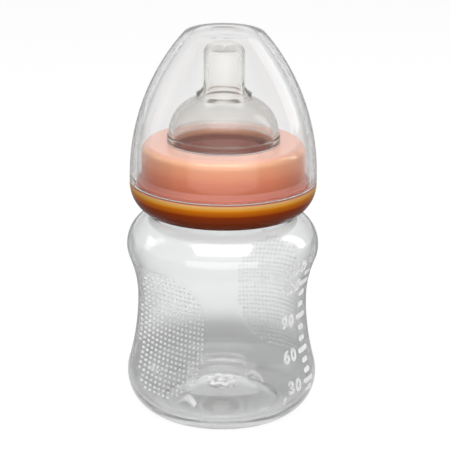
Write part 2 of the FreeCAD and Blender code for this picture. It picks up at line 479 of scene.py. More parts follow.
@dataclass(frozen=True)
class Scale:
    """The raised measuring scale: short and long ticks, figures and the unit."""

    facing: float = -RIGHT
    mean_r: float = 0.0305
    marks: tuple[int, ...] = tuple(range(20, 150, 10))
    long_every: int = 30
    tick_across: float = 0.0085
    short_tick: float = 0.0022
    long_tick: float = 0.0050
    figure_height: float = 0.0044
    stroke: float = 0.00034
    tick_stroke: float = 0.00070
    edge: float = 0.00036
    raised: float = 0.00028
    levels: dict[int, float] = field(default_factory=dict)
    slices: int = 4000
    unit: str = "ml"
    unit_place: Place = (-0.0062, 0.0098)
    unit_height: float = 0.0040
    window: Place = (-0.20, 0.40)
    grid: float = 0.00016

    def plates(self) -> Plates:
        """The plates that the scale is made of."""
        window = (self.facing + self.window[0], self.facing + self.window[1])
        return Plates("raised_scale", window, self.mean_r, self.grid)

    def figures(self) -> list[list[Place]]:
        """The strokes of all the figures.

        Returns:
            The strokes, each a list of places along and up the wall.
        """
        rows = Glyphs.text(self.unit, self.unit_place, self.unit_height)
        for mark in self.marks:
            if mark % self.long_every == 0 or mark == self.marks[-1]:
                rows += Glyphs.text(str(mark), (0.0, self.levels[mark]), self.figure_height)
        return rows

    def bars(self) -> list[list[Place]]:
        """The ticks, each a short bar along the wall.

        Returns:
            The bars, each as its two ends.
        """
        rows = []
        for mark in self.marks[:-1]:
            half = (self.short_tick if mark % self.long_every else self.long_tick) / 2
            height = self.levels[mark]
            rows.append([(self.tick_across - half, height), (self.tick_across + half, height)])
        return rows

    def settle(self, inside: list[Place]) -> None:
        """Works out the height of each mark from what the bottle holds below it.

        Args:
            inside: Points along the inside wall, from the rim down to the middle of the floor.
        """
        low = min(z for _, z in inside)
        turn = max(i for i, (_, z) in enumerate(inside) if z - low < NEAR)
        wall = sorted((z, r) for r, z in inside[:turn + 1])
        floor = sorted((z, r) for r, z in inside[turn:])
        steps = np.linspace(low, wall[-1][0], self.slices)
        outer = np.interp(steps, *zip(*wall))
        inner = np.interp(steps, *zip(*floor), right=0.0)
        held = np.cumsum(math.pi * (outer**2 - inner**2) * (steps[1] - steps[0]))
        for mark in self.marks:
            self.levels[mark] = float(np.interp(mark * MILLILITRE, held, steps))

    @staticmethod
    def nearest(strokes: list[list[Place]], across: np.ndarray, heights: np.ndarray) -> np.ndarray:
        """The distance from each point to the nearest stroke.

        Args:
            strokes: The strokes, each a list of places along and up the wall.
            across: How far along the wall the points lie.
            heights: The heights of the points.

        Returns:
            The distances.
        """
        best = np.full(len(across), np.inf)
        for stroke in strokes:
            for (x0, z0), (x1, z1) in zip(stroke, stroke[1:]):
                dx, dz = x1 - x0, z1 - z0
                share = ((across - x0) * dx + (heights - z0) * dz) / (dx * dx + dz * dz)
                share = np.clip(share, 0.0, 1.0)
                best = np.minimum(best, np.hypot(across - x0 - share * dx, heights - z0 - share * dz))
        return best

    def relief(self, angles: np.ndarray, heights: np.ndarray) -> np.ndarray:
        """How far the scale stands out of the wall.

        Args:
            angles: The angles of the points.
            heights: The heights of the points.

        Returns:
            The scale's height at each point.
        """
        out = np.zeros(len(angles))
        inside = (angles > self.facing + self.window[0]) & (angles < self.facing + self.window[1])
        across = (angles[inside] - self.facing) * self.mean_r
        for strokes, half in ((self.figures(), self.stroke), (self.bars(), self.tick_stroke)):
            rows = [s for s in strokes if abs(s[0][1] - heights[0]) < self.figure_height]
            if rows:
                away = self.nearest(rows, across, heights[inside])
                rise = self.raised * (1.0 - fade(half, half + self.edge, away))
                out[inside] = np.maximum(out[inside], rise)
        return out


@dataclass(frozen=True)
class Grip:
    """An oval grip: a slightly raised pad covered with rows of small dots.

    The dots are as the mould's draw leaves them: evenly spaced and round when seen along the draw,
    which stands at an angle to the pad's middle.
    """

    centre_z: float = 0.0340
    half_height: float = 0.0215
    half_width: float = 0.0148
    mean_r: float = 0.0300
    column: float = 0.00141
    pitch: float = 0.00174
    row_slope: float = -0.11
    draw: float = 0.70
    oval_power: float = 2.5
    dot_r: float = 0.00054
    dot_height: float = 0.00052
    pad: float = 0.00012
    pad_edge: float = 0.04
    half_window: float = 0.54
    facings: tuple[float, float] = (0.0, math.pi)
    grid: float = 0.00016

    def plates(self) -> list[Plates]:
        """The plates that the dots of the two grips are made of."""
        windows = [(facing - self.half_window, facing + self.half_window) for facing in self.facings]
        return [Plates(f"grip_dots_{i}", w, self.mean_r, self.grid, self.pad) for i, w in enumerate(windows)]

    def turned(self, angles: np.ndarray) -> np.ndarray:
        """The angles from the middle of the nearer grip."""
        return angles - self.facings[0] - np.round((angles - self.facings[0]) / math.pi) * math.pi

    def oval(self, turned: np.ndarray, up: np.ndarray) -> np.ndarray:
        """How far points lie from the middle of a grip; its edge is at 1.

        Args:
            turned: The angles from the middle.
            up: The heights above the middle.

        Returns:
            The distance as a share of the grip's half size.
        """
        power = self.oval_power
        across = np.abs(turned * self.mean_r / self.half_width)
        return (across**power + np.abs(up / self.half_height) ** power) ** (1 / power)

    def plate(self, angles: np.ndarray, heights: np.ndarray) -> np.ndarray:
        """How far the two smooth pads stand out of the wall.

        Args:
            angles: The angles of the points.
            heights: The heights of the points.

        Returns:
            The pads' height at each point.
        """
        oval = self.oval(self.turned(angles), heights - self.centre_z)
        return self.pad * (1.0 - fade(1.0, 1.0 + self.pad_edge, oval))

    def dots(self, angles: np.ndarray, heights: np.ndarray) -> np.ndarray:
        """How far the dots stand out of the pads.

        Args:
            angles: The angles of the points.
            heights: The heights of the points.

        Returns:
            The dots' height at each point.
        """
        shift = math.sin(self.draw)
        across = self.mean_r * (np.sin(self.turned(angles) - self.draw) + shift)
        near_across = np.round(across / self.column) * self.column
        up = heights - self.centre_z
        lean = self.row_slope * near_across
        near_up = np.round((up - lean) / self.pitch) * self.pitch + lean
        near_turned = self.draw + np.arcsin(np.clip(near_across / self.mean_r - shift, -1.0, 1.0))
        away = np.hypot(across - near_across, up - near_up)
        dome = np.clip(1.0 - (away / self.dot_r) ** 2, 0.0, 1.0)
        return np.where(self.oval(near_turned, near_up) < 1.0, self.dot_height * dome, 0.0)


@dataclass(frozen=True)
class BaseMarks:
    """What the mould leaves in the floor: two small arches beside the push-up and a petalled ring on it."""

    arch_r: float = 0.0170
    arch_aside: float = 0.0013
    arch_half_width: float = 0.0040
    arch_half_depth: float = 0.0009
    arch_height: float = 0.0030
    arch_thick: float = 0.0015
    petals: int = 6
    petal_depth: float = 0.0007
    ring_r: float = 0.0040
    ring_half: float = 0.0009
    ring_height: float = 0.0010
    nub_r: float = 0.0015
    nub_height: float = 0.0014
    reach: float = 0.0230
    grid: float = 0.00020

    def plates(self) -> Plates:
        """The plates that the marks are made of."""
        window = (-self.reach, self.reach)
        return Plates("floor_marks", window, self.reach, self.grid, thick=self.arch_thick)

    def relief(self, x: np.ndarray, y: np.ndarray) -> np.ndarray:
        """How far the marks rise out of the floor.

        Args:
            x: The points' distances from the middle, towards the grips.
            y: Their distances from the middle, the other way.

        Returns:
            The rise at each point.
        """
        across = (y + np.sign(x) * self.arch_aside) / self.arch_half_width
        inward = (np.abs(x) - self.arch_r) / self.arch_half_depth
        arch = self.arch_height * np.where(np.abs(inward) < 1.0, np.clip(1.0 - across**2, 0.0, 1.0), 0.0)
        radius = np.hypot(x, y)
        wave = self.petal_depth * np.cos(self.petals * np.arctan2(y, x))
        aside = (radius - self.ring_r - wave) / self.ring_half
        ring = self.ring_height * np.clip(1.0 - aside**2, 0.0, 1.0)
        nub = self.nub_height * np.clip(1.0 - (radius / self.nub_r) ** 2, 0.0, 1.0)
        return arch + ring + nub


@dataclass(frozen=True)
class Finish:
    """What every finish has: a name and how its moulded skin varies."""

    name: str
    roughness: float
    spread: float
    flow_scale: float
    grain_scale: float
    bump: float


def maths(tree: Tree, operation: str, first: Socket, second: Union[Socket, float]) -> Socket:
    """Adds a maths node.

    Args:
        tree: The nodes to add it to.
        operation: What it works out.
        first: The first value.
        second: The second value, a socket or a number.

    Returns:
        The socket with the result.
    """
    node = tree.nodes.new("ShaderNodeMath")
    node.operation = operation
    tree.links.new(first, node.inputs[0])
    if isinstance(second, float):
        node.inputs[1].default_value = second
    else:
        tree.links.new(second, node.inputs[1])
    return node.outputs[0]


def map_range(tree: Tree, value: Socket, source: Place, target: Place, smooth: bool = False) -> Socket:
    """Adds a node that carries a value from one range to another, and no further.

    Args:
        tree: The nodes to add it to.
        value: The value.
        source: The two ends of the range that it comes from.
        target: What it is at those two ends.
        smooth: Whether it eases in and out.

    Returns:
        The socket with the result.
    """
    node = tree.nodes.new("ShaderNodeMapRange")
    if smooth:
        node.interpolation_type = "SMOOTHSTEP"
    for label, number in zip(("From Min", "From Max", "To Min", "To Max"), (*source, *target)):
        node.inputs[label].default_value = number
    tree.links.new(value, node.inputs["Value"])
    return node.outputs["Result"]


class Groups:
    """The shared effects, each a node group that is made once."""

    FLOW_DETAIL = 3.0
    FLOW_SHARE = 0.6
    GRAIN_DETAIL = 6.0
    GRAIN_ROUGHNESS = 0.65
    MIDDLE = 0.8

    @classmethod
    def moulded_skin(cls) -> Tree:
        """A moulded surface: uneven gloss from the flow of the melt, fine handling marks and a faint swell.

        Returns:
            The node group, with a varying roughness, a height and a mottle.
        """
        name = "moulded_skin"
        if name in bpy.data.node_groups:
            return bpy.data.node_groups[name]
        tree = bpy.data.node_groups.new(name, "ShaderNodeTree")
        for label, kind in (
            ("Place", "NodeSocketVector"),
            ("Roughness", "NodeSocketFloat"),
            ("Spread", "NodeSocketFloat"),
            ("Flow Scale", "NodeSocketFloat"),
            ("Grain Scale", "NodeSocketFloat"),
        ):
            tree.interface.new_socket(label, in_out="INPUT", socket_type=kind)
        for label in ("Roughness", "Height", "Mottle"):
            tree.interface.new_socket(label, in_out="OUTPUT", socket_type="NodeSocketFloat")
        nodes, links = tree.nodes, tree.links
        inner = nodes.new("NodeGroupInput")
        outer = nodes.new("NodeGroupOutput")
        flow = nodes.new("ShaderNodeTexNoise")
        flow.inputs["Detail"].default_value = cls.FLOW_DETAIL
        grain = nodes.new("ShaderNodeTexNoise")
        grain.inputs["Detail"].default_value = cls.GRAIN_DETAIL
        grain.inputs["Roughness"].default_value = cls.GRAIN_ROUGHNESS
        for noise, scale in ((flow, "Flow Scale"), (grain, "Grain Scale")):
            links.new(inner.outputs["Place"], noise.inputs["Vector"])
            links.new(inner.outputs[scale], noise.inputs["Scale"])
        sum_node = nodes.new("ShaderNodeMath")
        sum_node.operation = "MULTIPLY_ADD"
        sum_node.inputs[1].default_value = cls.FLOW_SHARE
        links.new(flow.outputs["Fac"], sum_node.inputs[0])
        links.new(grain.outputs["Fac"], sum_node.inputs[2])
        rough = nodes.new("ShaderNodeMath")
        rough.operation = "MULTIPLY_ADD"
        rough.use_clamp = True
        links.new(maths(tree, "SUBTRACT", sum_node.outputs[0], cls.MIDDLE), rough.inputs[0])
        links.new(inner.outputs["Spread"], rough.inputs[1])
        links.new(inner.outputs["Roughness"], rough.inputs[2])
        links.new(rough.outputs[0], outer.inputs["Roughness"])
        links.new(sum_node.outputs[0], outer.inputs["Height"])
        links.new(flow.outputs["Fac"], outer.inputs["Mottle"])
        return tree

    @classmethod
    def place(cls, tree: Tree, finish: Finish) -> bpy.types.Node:
        """Puts the moulded skin into a material.

        Args:
            tree: The material's nodes.
            finish: The finish whose values it takes.

        Returns:
            The group's node, fed with the piece's own coordinates.
        """
        skin = tree.nodes.new("ShaderNodeGroup")
        skin.node_tree = cls.moulded_skin()
        skin.inputs["Roughness"].default_value = finish.roughness
        skin.inputs["Spread"].default_value = finish.spread
        skin.inputs["Flow Scale"].default_value = finish.flow_scale
        skin.inputs["Grain Scale"].default_value = finish.grain_scale
        place = tree.nodes.new("ShaderNodeTexCoord")
        tree.links.new(place.outputs["Object"], skin.inputs["Place"])
        return skin


def blank_material(name: str) -> tuple[bpy.types.Material, bpy.types.Node, bpy.types.Node]:
    """Makes a material with a principled shader.

    Args:
        name: The material's name.

    Returns:
        The material, its shader node and its output node.
    """
    material = bpy.data.materials.new(name)
    material.use_nodes = True
    tree = material.node_tree
    tree.nodes.clear()
    output = tree.nodes.new("ShaderNodeOutputMaterial")
    shader = tree.nodes.new("ShaderNodeBsdfPrincipled")
    tree.links.new(shader.outputs["BSDF"], output.inputs["Surface"])
    return material, shader, output


def skin_on(tree: Tree, shader: bpy.types.Node, finish: Finish) -> bpy.types.Node:
    """Gives a shader the roughness and bump of a moulded skin.

    Args:
        tree: The material's nodes.
        shader: The principled shader.
        finish: The finish whose values it takes.

    Returns:
        The skin's node.
    """
    skin = Groups.place(tree, finish)
    bump = tree.nodes.new("ShaderNodeBump")
    bump.inputs["Strength"].default_value = finish.bump
    bump.inputs["Distance"].default_value = BUMP_DEPTH
    tree.links.new(skin.outputs["Height"], bump.inputs["Height"])
    tree.links.new(bump.outputs["Normal"], shader.inputs["Normal"])
    tree.links.new(skin.outputs["Roughness"], shader.inputs["Roughness"])
    return skin


def let_light_in(
    tree: Tree, shader: bpy.types.Node, output: bpy.types.Node, tint: Colour, edge: float = 0.0
) -> None:
    """Lets the lamps' light through a surface, tinted, to what lies behind it.

    Args:
        tree: The material's nodes.
        shader: The principled shader.
        output: The material's output.
        tint: The share of the light that goes through.
        edge: The share of the surface that is seen through unbent where it is seen edge on.
    """
    path = tree.nodes.new("ShaderNodeLightPath")
    clear = tree.nodes.new("ShaderNodeBsdfTransparent")
    clear.inputs["Color"].default_value = (*tint, 1.0)
    mix = tree.nodes.new("ShaderNodeMixShader")
    share = path.outputs["Is Shadow Ray"]
    if edge:
        weight = tree.nodes.new("ShaderNodeLayerWeight")
        steep = maths(tree, "POWER", weight.outputs["Facing"], EDGE_POWER)
        share = maths(tree, "MAXIMUM", maths(tree, "MULTIPLY", steep, edge), share)
    tree.links.new(share, mix.inputs[0])
    tree.links.new(shader.outputs["BSDF"], mix.inputs[1])
    tree.links.new(clear.outputs["BSDF"], mix.inputs[2])
    tree.links.new(mix.outputs["Shader"], output.inputs["Surface"])


@dataclass(frozen=True)
class ClearFinish(Finish):
    """A clear moulded plastic or silicone, faintly grey in its depth; with clear at 0, it is opaque."""

    colour: Colour
    ior: float
    gloss: float
    clear: float
    depth_colour: Colour
    depth_density: float
    shadow: Colour
    edge: float = 0.0

    def make(self) -> bpy.types.Material:
        """Makes the clear material.

        Returns:
            The material, which lets the lamps' light through to what is inside.
        """
        material, shader, output = blank_material(self.name)
        tree = material.node_tree
        shader.inputs["Base Color"].default_value = (*self.colour, 1.0)
        shader.inputs["Transmission Weight"].default_value = self.clear
        shader.inputs["IOR"].default_value = self.ior
        shader.inputs["Coat Weight"].default_value = self.gloss
        shader.inputs["Coat Roughness"].default_value = self.roughness
        skin_on(tree, shader, self)
        let_light_in(tree, shader, output, self.shadow, self.edge)
        depth = tree.nodes.new("ShaderNodeVolumeAbsorption")
        depth.inputs["Color"].default_value = (*self.depth_colour, 1.0)
        depth.inputs["Density"].default_value = self.depth_density
        tree.links.new(depth.outputs["Volume"], output.inputs["Volume"])
        return material


@dataclass(frozen=True)
class CollarFinish(Finish):
    """Glossy orange plastic: amber on the flange and salmon on the ring above the ledge, with painted light
    and shade by height: painted shade that darkens the flange downwards, a painted highlight along its top
    edge, a painted shadow low on the ring and painted light that lightens the ring towards the crown.
    """

    low_z: float
    high_z: float
    tones: tuple[tuple[float, Colour], ...]
    mottle: float
    sheen: float
    gloss: float
    coat_ior: float
    coat_roughness: float
    gloss_from: float
    shadow: Colour

    def make(self) -> bpy.types.Material:
        """Makes the material, whose tone, with its painted light and shade, follows the height.

        Returns:
            The material.
        """
        material, shader, output = blank_material(self.name)
        tree = material.node_tree
        skin = skin_on(tree, shader, self)
        let_light_in(tree, shader, output, self.shadow)
        place = tree.nodes.new("ShaderNodeTexCoord")
        split = tree.nodes.new("ShaderNodeSeparateXYZ")
        tree.links.new(place.outputs["Object"], split.inputs[0])
        height = map_range(tree, split.outputs["Z"], (self.low_z, self.high_z), (0.0, 1.0))
        ramp = tree.nodes.new("ShaderNodeValToRGB")
        stops = ramp.color_ramp.elements
        while len(stops) < len(self.tones):
            stops.new(1.0)
        for stop, (z, colour) in zip(stops, self.tones):
            stop.position = (z - self.low_z) / (self.high_z - self.low_z)
            stop.color = (*colour, 1.0)
        tree.links.new(height, ramp.inputs["Fac"])
        flow = tree.nodes.new("ShaderNodeHueSaturation")
        level = map_range(tree, skin.outputs["Mottle"], (0.0, 1.0), (1.0 - self.mottle, 1.0 + self.mottle))
        tree.links.new(level, flow.inputs["Value"])
        tree.links.new(ramp.outputs["Color"], flow.inputs["Color"])
        tree.links.new(flow.outputs["Color"], shader.inputs["Base Color"])
        shader.inputs["Specular IOR Level"].default_value = self.sheen
        gloss = map_range(tree, split.outputs["Z"], (self.gloss_from, self.high_z), (0.0, self.gloss))
        tree.links.new(gloss, shader.inputs["Coat Weight"])
        shader.inputs["Coat Roughness"].default_value = self.coat_roughness
        shader.inputs["Coat IOR"].default_value = self.coat_ior
        return material


CLEAR_PLASTIC = dict(flow_scale=45.0, grain_scale=900.0, clear=1.0, shadow=(0.97, 0.97, 0.97))
FINE_RELIEF = dict(
    spread=0.08, bump=0.05, colour=(0.99, 0.99, 0.99), ior=1.40, gloss=1.0, depth_colour=(0.90, 0.90, 0.90),
    depth_density=0.0, **CLEAR_PLASTIC,
)

BOTTLE_FINISH = ClearFinish(
    name="clear_bottle_plastic", roughness=0.03, spread=0.03, bump=0.02, colour=(0.985, 0.99, 0.99),
    ior=1.30, gloss=1.0, depth_colour=(0.62, 0.625, 0.63), depth_density=150.0, edge=0.60, **CLEAR_PLASTIC,
)
FROST_FINISH = ClearFinish(name="frosted_scale", roughness=0.66, **FINE_RELIEF)
SATIN_FINISH = ClearFinish(name="satin_dots", roughness=0.36, **FINE_RELIEF)
# Opaque white standing in for light: a painted highlight on the cap's rim band, where light carried down the
# wall shows, and painted glints on the floor marks.
PAINTED_GLINT_FINISH = ClearFinish(
    name="painted_glint_white", roughness=0.15, spread=0.08, flow_scale=45.0, grain_scale=900.0, bump=0.02,
    colour=(0.97, 0.97, 0.97), ior=1.18, gloss=1.0, clear=0.0, depth_colour=(0.64, 0.65, 0.65),
    depth_density=40.0, shadow=(0.97, 0.97, 0.97),
)
CAP_FINISH = ClearFinish(
    name="clear_cap_plastic", roughness=0.03, spread=0.03, bump=0.015, colour=(0.985, 0.985, 0.985),
    ior=1.12, gloss=0.50, depth_colour=(0.64, 0.65, 0.65), depth_density=70.0, edge=0.60, **CLEAR_PLASTIC,
)
TEAT_FINISH = ClearFinish(
    name="clear_silicone", roughness=0.12, spread=0.06, flow_scale=60.0, grain_scale=1200.0, bump=0.03,
    colour=(0.985, 0.98, 0.97), ior=1.19, gloss=0.3, clear=1.0, depth_colour=(0.68, 0.67, 0.645),
    depth_density=160.0, shadow=(0.985, 0.985, 0.98),
)
COLLAR_FINISH = CollarFinish(
    name="orange_collar_plastic", roughness=0.10, spread=0.05, flow_scale=70.0, grain_scale=1400.0,
    bump=0.015, low_z=0.0720, high_z=0.0960, mottle=0.05, sheen=0.04, gloss=1.0, coat_ior=1.7,
    coat_roughness=0.03, gloss_from=0.0870, shadow=(0.90, 0.70, 0.58),
    tones=(
        # Painted shade: the flange's amber darkens towards its bottom edge.
        (0.0725, (0.26, 0.045, 0.010)),
        (0.0777, (0.42, 0.055, 0.004)),
        (0.0783, (0.66, 0.140, 0.006)),
        (0.0797, (0.84, 0.230, 0.008)),
        (0.0801, (0.97, 0.370, 0.018)),
        # Painted highlight: a bright line on the flange's rounded top edge.
        (0.0813, (1.00, 0.580, 0.170)),
        (0.0819, (0.64, 0.230, 0.165)),
        (0.0843, (0.66, 0.245, 0.175)),
        # Painted shadow low on the ring, then painted light: the ring grows lighter upwards.
        (0.0848, (0.58, 0.152, 0.072)),
        (0.0879, (0.69, 0.194, 0.092)),
        (0.0903, (0.79, 0.268, 0.124)),
        (0.0926, (0.83, 0.315, 0.142)),
        # Painted highlight on the crown's rounding.
        (0.0945, (0.89, 0.440, 0.240)),
        (0.0954, (1.00, 0.490, 0.350)),
    ),
)


@dataclass
class Piece:
    """A sub-assembly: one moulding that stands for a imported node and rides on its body."""

    node: Node
    body: Body
    slot: Slot
    finish: Union[ClearFinish, CollarFinish]
    name: str
    relief_finish: Optional[ClearFinish] = None
    crisp: float = math.radians(40)
    made: Optional[bpy.types.Object] = field(default=None, init=False)

    def build(self) -> bpy.types.Object:
        """Makes the piece's mesh; each sub-assembly has its own."""
        raise NotImplementedError

    def dress(self) -> None:
        """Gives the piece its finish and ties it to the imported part."""
        self.made = self.build()
        if not self.made.data.materials:
            self.made.data.materials.append(self.finish.make())
        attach(self.made, self.body.value)
        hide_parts(self.node.value)
        LOG.info("%s: %d faces", self.name, len(self.made.data.polygons))


@dataclass
class Bottle(Piece):
    """The waisted bottle, with its grips, measuring scale, threaded neck and push-up bottom."""

    crisp: float = math.radians(65)
    body_r: float = 0.0330
    waist_depth: float = 0.0038
    heel_round: float = 0.0145
    heel_cut: float = 0.0015
    heel_to_waist: float = 0.0275
    waist_to_shoulder: float = 0.0190
    shoulder_round: float = 0.0115
    wall: float = 0.0016
    foot_round: float = 0.0040
    foot_land: float = 0.0035
    floor: float = 0.0020
    heel_wall: float = 0.0035
    push_up: float = 0.0070
    gate_r: float = 0.0022
    gate_drop: float = 0.0012
    gate_ring_r: float = 0.0052
    gate_ring_drop: float = 0.0005
    neck_r: float = 0.0243
    neck_bore: float = 0.0227
    neck_foot: float = 0.0010
    rim_z: float = 0.0916
    rim_round: float = 0.0005
    step: float = 0.0008
    inner_step: float = 0.0014
    fine_step: float = 0.00060
    detail_low: float = 0.0085
    detail_high: float = 0.0600
    columns: int = 150
    grip_column: float = 0.0160
    grip: Grip = Grip()
    marks: BaseMarks = BaseMarks()
    scale: Scale = field(default_factory=Scale)
    thread: Thread = Thread()
    wall_path: list[Place] = field(default_factory=list, init=False)
    floor_path: list[Place] = field(default_factory=list, init=False)

    def waist_arcs(self, inset: float) -> list[Arc]:
        """The two hollow arcs of the wall, below and above the waist, set in from the outside.

        Args:
            inset: How far inside the outer wall they lie.

        Returns:
            The lower arc and the upper one.
        """
        heel_z = self.heel_round - self.heel_cut
        waist = (self.body_r - self.waist_depth, heel_z + self.heel_to_waist)
        depth = self.waist_depth
        below = (self.heel_round, self.heel_to_waist)
        above = (self.shoulder_round, self.waist_to_shoulder)
        centres = []
        for rounding, reach in (below, above):
            radius = (depth**2 - 2 * rounding * depth + reach**2) / (2 * depth)
            centres.append((waist[0] + radius, waist[1]))
        lower, upper = centres
        shoulder = (self.body_r - self.shoulder_round, waist[1] + self.waist_to_shoulder)
        low = bearing((self.body_r - self.heel_round, heel_z), lower)
        high = bearing(upper, shoulder)
        return [
            Arc(lower, lower[0] - waist[0] + inset, low + math.pi, math.pi),
            Arc(upper, upper[0] - waist[0] + inset, math.pi, high),
        ]

    def shoulder_arc(self, inset: float, neck_r: float) -> Arc:
        """The rounded shoulder, from the hollow of the waist up to the neck.

        Args:
            inset: How far inside the outer wall it lies.
            neck_r: The radius of the neck that it runs up to.

        Returns:
            The arc.
        """
        upper = self.waist_arcs(inset)[1]
        centre = (self.body_r - self.shoulder_round, upper.centre[1] + self.waist_to_shoulder)
        radius = self.shoulder_round - inset
        return Arc(centre, radius, upper.end - math.pi, math.acos((neck_r - centre[0]) / radius))

    def outside(self) -> Outline:
        """The outside of the bottle.

        Returns:
            The outline, from the middle of the push-up to the rim.
        """
        heel = (self.body_r - self.heel_round, self.heel_round - self.heel_cut)
        across = math.sqrt((self.heel_round - self.foot_round) ** 2 - (heel[1] - self.foot_round) ** 2)
        foot = (heel[0] + across, self.foot_round)
        hollow = shallow_dome(foot[0] - self.foot_land, 0.0, self.push_up).reverse()
        ring_from = math.acos(self.gate_ring_r / hollow.radius)
        lower, upper = self.waist_arcs(0.0)
        rim = (self.neck_r - self.rim_round, self.rim_z - self.rim_round)
        return [
            (0.0, self.push_up - self.gate_drop),
            (self.gate_r, self.push_up - self.gate_drop),
            (self.gate_r, self.push_up - self.gate_ring_drop),
            (self.gate_ring_r, self.push_up - self.gate_ring_drop),
            Arc(hollow.centre, hollow.radius, ring_from, hollow.end),
            Arc(foot, self.foot_round, -RIGHT, bearing(heel, foot)),
            Arc(heel, self.heel_round, bearing(heel, foot), lower.start - math.pi),
            lower,
            upper,
            self.shoulder_arc(0.0, self.neck_r + self.neck_foot),
            Arc(rim, self.rim_round, 0.0, RIGHT),
        ]

    def inside(self) -> Outline:
        """The inside of the bottle.

        Returns:
            The outline, from the rim down to the middle of the floor.
        """
        lower, upper = self.waist_arcs(self.wall)
        rounding = self.heel_round - self.heel_wall
        height = self.floor + rounding
        across = math.sqrt((lower.radius + rounding) ** 2 - (lower.centre[1] - height) ** 2)
        heel = (lower.centre[0] - across, height)
        meet = bearing(heel, lower.centre)
        rim = (self.neck_bore + self.rim_round, self.rim_z - self.rim_round)
        return [
            Arc(rim, self.rim_round, RIGHT, math.pi),
            self.shoulder_arc(self.wall, self.neck_bore).reverse(),
            upper.reverse(),
            Arc(lower.centre, lower.radius, lower.end, meet + math.pi),
            Arc(heel, rounding, meet, -RIGHT),
            shallow_dome(heel[0], self.floor, self.push_up),
        ]

    def detail_angles(self) -> np.ndarray:
        """Angles of the detailed wall: close together on the grips, wide apart elsewhere.

        Returns:
            The angles, rising.
        """
        angles = list(even_angles(self.columns))
        gap = self.grip_column
        for facing in self.grip.facings:
            low, high = facing - self.grip.half_window, facing + self.grip.half_window
            count = round((high - low) / gap)
            angles = [a for a in angles if not (low - gap < (a - low) % FULL + low < high + gap)]
            turns = [low + (high - low) * i / count for i in range(count + 1)]
            angles += [(turn + math.pi) % FULL - math.pi for turn in turns]
        return np.array(sorted(angles))

    def build(self) -> bpy.types.Object:
        """Makes the bottle as one closed skin.

        Returns:
            The new object.
        """
        inside = trace(self.inside(), self.inner_step)
        self.scale.settle(inside)
        plain = even_angles(self.columns)
        close = self.detail_angles()
        path = trace(self.outside(), self.step)
        neck_z = self.thread.start_z - self.thread.lead
        wall = [p for p in path if p[0] > self.neck_r and self.detail_low < p[1] < self.detail_high]
        first, last = path.index(wall[0]), path.index(wall[-1])
        lathe = Lathe()
        lathe.sweep(path[:first], plain)
        self.wall_path = trace(wall, self.fine_step)
        lathe.sweep(self.wall_path, close, self.grip.plate)
        for place in path[last + 1:]:
            on_neck = place[1] > neck_z and abs(place[0] - self.neck_r) < NEAR
            lathe.ring(place, plain, self.thread.relief if on_neck else None)
        lathe.sweep(inside, plain)
        self.floor_path = [p for p in reversed(inside) if p[1] < self.detail_low]
        return lathe.make(self.name, self.crisp)

    def dress(self) -> None:
        """Dresses the bottle and lays its scale, its grips' dots and its floor marks."""
        super().dress()
        frosted = self.relief_finish.make()
        satin = SATIN_FINISH.make()
        laid = [(self.scale.plates().on_wall(self.wall_path, self.scale.relief), frosted)]
        laid += [(plates.on_wall(self.wall_path, self.grip.dots), satin) for plates in self.grip.plates()]
        # The floor marks are opaque white: painted glints for the light that catches these small clear
        # bumps.
        laid.append((self.marks.plates().on_floor(self.floor_path, self.marks.relief), PAINTED_GLINT_FINISH.make()))
        for marks, skin in laid:
            marks.data.materials.append(skin)
            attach(marks, self.body.value)
            LOG.info("%s: %d faces", marks.name, len(marks.data.polygons))


